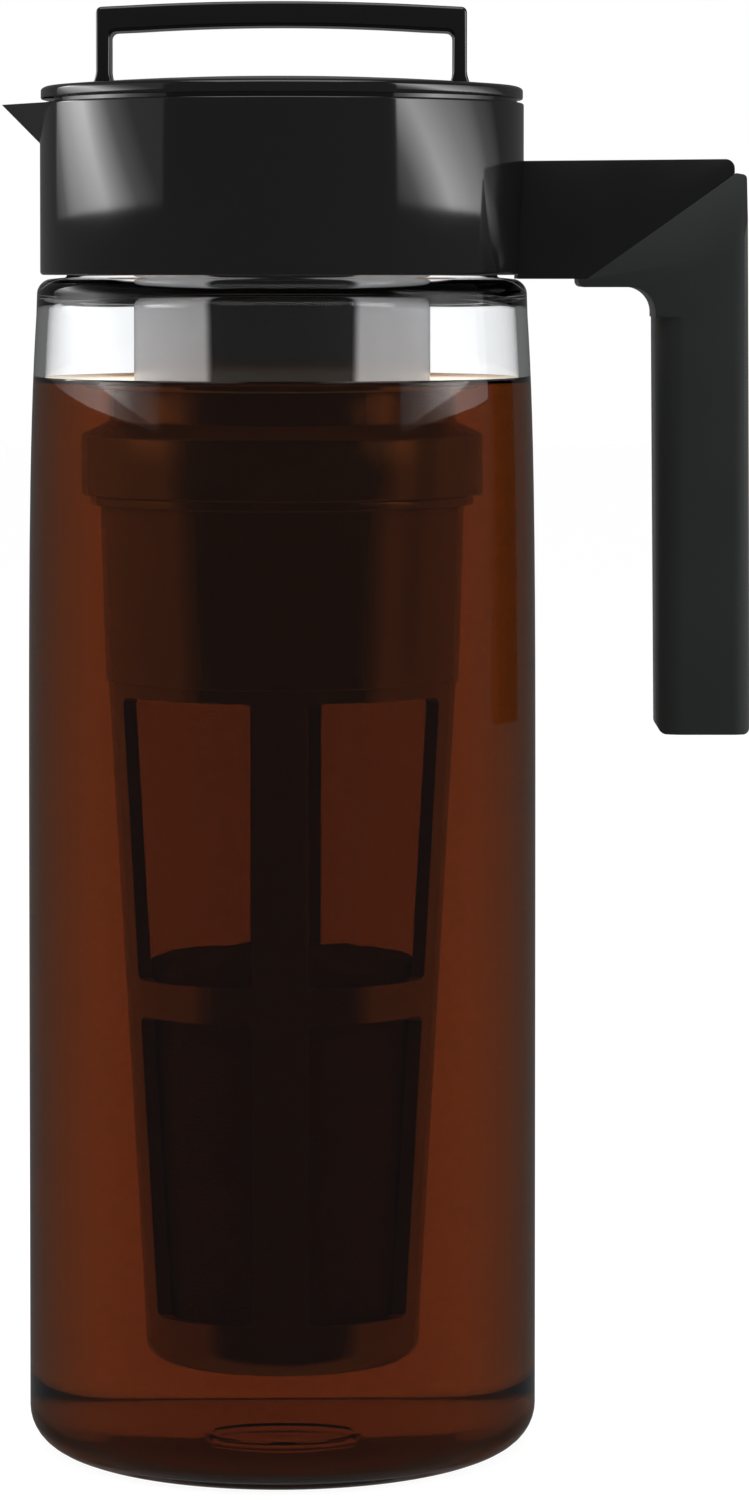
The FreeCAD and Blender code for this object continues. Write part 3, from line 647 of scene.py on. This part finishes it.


# Infuser
# Satin dark plastic: the neck with its finger ring and lugs, the plain sleeve, the frame with its two
# rows of four windows, and the base cap. Its colour has a painted pale brown reflection towards its sides.
satin = material("infuser_plastic_painted_reflection")
satin_flow = satin.noise(24, 3.0)
satin_painted_reflection_facing = satin.node("ShaderNodeLayerWeight", None, {"Blend": 0.5}, output="Facing")
satin.finish(satin.principled(
    # Painted reflection: pale brown is mixed into the colour towards the plastic's sides.
    Base_Color=satin.mix(satin_painted_reflection_facing.between(0.10, 0.22) * (satin_flow * 0.3 + 0.85),
                         (0.0015, 0.0012, 0.001, 1), (0.15, 0.13, 0.10, 1)),
    Roughness=satin_flow.between(0.3, 0.7, 0.14, 0.22), IOR=1.55,
    Normal=satin.bump(satin.noise(500, 2.0), 0.05, 0.0001)))
finger_ring = lathed("finger_ring", [
    (24.8, 205.8), (28.9, 205.8), (28.9, 197.6), (31.3, 197.6, 0.5), (31.3, 210.0, 0.5), (27.0, 212.8, 0.4),
    (27.0, 232.8, 0.4), (24.8, 232.8), (24.8, 205.8),
], steps=160)
sleeve = lathed("sleeve", [
    (25.3, 159.4), (27.5, 159.4, 0.25), (28.35, 195.6), (29.85, 195.6, 0.4), (29.85, 197.6, 0.3),
    (28.35, 197.6), (28.35, 205.8), (26.15, 205.8), (26.15, 195.6), (25.3, 159.4),
], steps=160)
base_cap = lathed("base_cap", [
    (0, 18.6), (21.05, 18.6, 4.5), (21.3, 28.0), (19.1, 28.0), (18.7, 21.0, 2.4), (0, 21.0),
], steps=160)
windowed_frame = lathed("windowed_frame", [
    (19.1, 28.0), (21.3, 28.0), (27.1, 159.4), (25.3, 159.4), (25.3, 165.4), (23.9, 165.4), (23.9, 159.4),
    (24.9, 157.4), (19.1, 28.0),
], steps=160)
half_front_rib = 4.85
half_side_rib = 7.0
for low, high in ((29.1, 91.15), (98.65, 156.7)):
    for side_x, side_y in ((1, 1), (1, -1), (-1, 1), (-1, -1)):
        bpy.ops.object.select_all(action="DESELECT")
        bpy.ops.mesh.primitive_cube_add(size=MM)
        window = bpy.context.object
        bpy.ops.object.mode_set(mode="EDIT")
        bpy.ops.mesh.select_all(action="SELECT")
        bpy.ops.transform.resize(value=(40, 40, high - low))
        bpy.ops.transform.translate(value=(
            side_x * (20 + half_front_rib) * MM, side_y * (20 + half_side_rib) * MM, (low + high) / 2 * MM))
        bpy.ops.mesh.select_all(action="DESELECT")
        edit = bmesh.from_edit_mesh(window.data)
        for edge in edit.edges:
            middle = (edge.verts[0].co + edge.verts[1].co) / 2
            level_edge = abs(edge.verts[0].co.z - edge.verts[1].co.z) < 1e-6
            at_rib = abs(middle.x * side_x - half_front_rib * MM) < 1e-5 or abs(
                middle.y * side_y - half_side_rib * MM) < 1e-5
            edge.select = level_edge and at_rib
        bmesh.update_edit_mesh(window.data)
        bpy.ops.mesh.bevel(offset=1.6 * MM, segments=4, affect="EDGES")
        bpy.ops.mesh.select_all(action="SELECT")
        bpy.ops.mesh.normals_make_consistent(inside=False)
        bpy.ops.object.mode_set(mode="OBJECT")
        carve(windowed_frame, window, "DIFFERENCE")
for turn in range(3):
    bpy.ops.object.select_all(action="DESELECT")
    bpy.ops.mesh.primitive_cube_add(size=MM)
    lug = bpy.context.object
    bpy.ops.object.mode_set(mode="EDIT")
    bpy.ops.mesh.select_all(action="SELECT")
    bpy.ops.transform.resize(value=(2.2, 10.2, 2.4))
    bpy.ops.transform.translate(value=(26.9 * MM, 0, 223.9 * MM))
    bpy.ops.mesh.bevel(offset=0.3 * MM, segments=2, affect="EDGES")
    bpy.ops.transform.rotate(value=-turn * math.tau / 3, orient_axis="Z", center_override=(0, 0, 0))
    bpy.ops.object.mode_set(mode="OBJECT")
    carve(finger_ring, lug, "UNION")
for piece, node in ((finger_ring, "infuser_neck"), (sleeve, "infuser_sleeve"), (base_cap, "infuser_base"),
                    (windowed_frame, "infuser_frame")):
    dress(piece, satin.owner, "infuser", node, slot="black_satin")


# Filter
# Nylon gauze in two sleeves, one behind each row of windows. Its threads run round and along the cone.
def gauze_sleeve(name, node):
    """Thin cone between the node's lowest and highest circle."""
    low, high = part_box(node)
    bottom, top = low.z / MM, high.z / MM
    radius_top = high.x / MM
    radius_bottom = radius_top - (top - bottom) * 0.0424
    return lathed(name, [
        (radius_bottom - 0.3, bottom), (radius_bottom - 0.05, bottom), (radius_top - 0.05, top),
        (radius_top - 0.3, top), (radius_bottom - 0.3, bottom),
    ], steps=96)


gauze = material("filter_gauze")
gauze_x, gauze_y, gauze_z = gauze.parts(gauze.place())
threads_round = 150
gauze_turn = (gauze_y.math("ARCTAN2", gauze_y, gauze_x) / math.tau + 0.5) * threads_round
gauze_rise = gauze_z / 0.0009
thread_up = (gauze_turn.fraction() - 0.5).size().between(0.18, 0.30)
thread_round = (gauze_rise.fraction() - 0.5).size().between(0.18, 0.30)
gauze_cover = 1.0 - (1.0 - thread_up) * (1.0 - thread_round)
gauze.finish(gauze.principled(
    Base_Color=(0.05, 0.035, 0.022, 1), Roughness=0.5, Alpha=gauze_cover * 0.16 + 0.02,
    Normal=gauze.bump(gauze_cover, 0.4, 0.0002)))
for node, name in (("filter_mesh_upper", "gauze_upper"), ("filter_mesh_lower", "gauze_lower")):
    dress(gauze_sleeve(name, node), gauze.owner, "infuser", node, slot="filter_weave")


# Grounds
# Steeped coffee grounds in the lower part of the infuser, with a loose, uneven top.
grounds_top = 104.0
grounds = lathed("grounds", [
    (0, 21.8), (14.5, 21.8, 1.5), (17.9, 28.0), (20.55, 92.0), (20.9, grounds_top - 2.5, 1.2),
    (19.0, grounds_top - 1.2), (15.0, grounds_top), (10.0, grounds_top + 0.8), (5.0, grounds_top + 0.3),
    (0, grounds_top + 0.9),
], steps=96)
lump = bpy.data.textures.new("lump", "CLOUDS")
lump.noise_scale = 0.006
heap = grounds.modifiers.new("heap", "DISPLACE")
heap.texture = lump
heap.texture_coords = "LOCAL"
heap.direction = "Z"
heap.strength = 0.0025
heap.mid_level = 0.5
bpy.ops.object.select_all(action="DESELECT")
bpy.context.view_layer.objects.active = grounds
grounds.select_set(True)
bpy.ops.object.modifier_apply(modifier=heap.name)
mud = material("coffee_grounds")
mud_grain = mud.noise(1400, 4.0, 0.7)
mud.finish(mud.principled(
    Base_Color=mud.mix(mud_grain, (0.004, 0.002, 0.001, 1), (0.02, 0.009, 0.004, 1)), Roughness=0.85,
    Normal=mud.bump(mud_grain, 0.6, 0.0006)))
dress(grounds, mud.owner, "infuser")


# Hidden pieces
# The plug, seals, gaskets, lock ring and screws keep the CAD's shape and get a finish. The plug and the
# seals come into view when the lid is lifted.
silicone = material("silicone")
silicone.finish(silicone.principled(
    Base_Color=(0.05, 0.05, 0.05, 1), Roughness=silicone.noise(80, 3.0).between(0.3, 0.7, 0.45, 0.6)))
steel = material("screw_steel")
steel.finish(steel.principled(
    Base_Color=(0.6, 0.6, 0.6, 1), Metallic=1.0,
    Roughness=steel.noise(300, 2.0).between(0.3, 0.7, 0.25, 0.4)))
for nodes, finish in (
    (("neck_gasket", "lid_seal", "skirt_seal", "infuser_gasket"), silicone.owner),
    (("lock_ring", "lid_plug"), gloss.owner),
    (("handle_screws",), steel.owner),
):
    for node in nodes:
        frame["nodes"][node].data.materials.clear()
        frame["nodes"][node].data.materials.append(finish)
